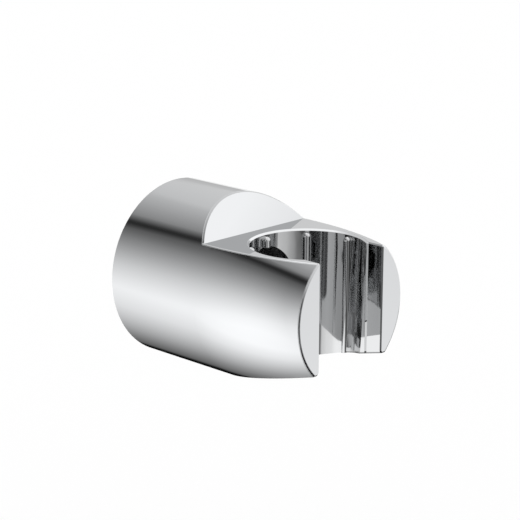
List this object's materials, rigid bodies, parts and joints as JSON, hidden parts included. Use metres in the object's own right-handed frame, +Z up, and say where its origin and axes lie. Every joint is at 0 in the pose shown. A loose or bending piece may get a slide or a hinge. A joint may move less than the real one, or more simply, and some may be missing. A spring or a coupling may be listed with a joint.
{
  "type": "hand shower holder",
  "caption": "Wall-fixed hand shower holder: round chromed body with a ribbed conical socket, open front slot and screw boss.",
  "frame": {"origin": "on the wall plane, on the axis of the holder's round body", "axes": "+Y into the wall along the body's axis, +Z up, the holder stands out along -Y with its slot at the far end"},
  "size_m": [0.043, 0.0764, 0.043],
  "materials": {
    "chrome_plating": "mirror bright",
    "screw_steel": "plain",
    "washer_steel": "plain"
  },
  "bodies": {
    "root": {"holder_body": "chrome_plating", "wall_screw": "screw_steel", "screw_washer": "washer_steel"}
  },
  "joints": []
}
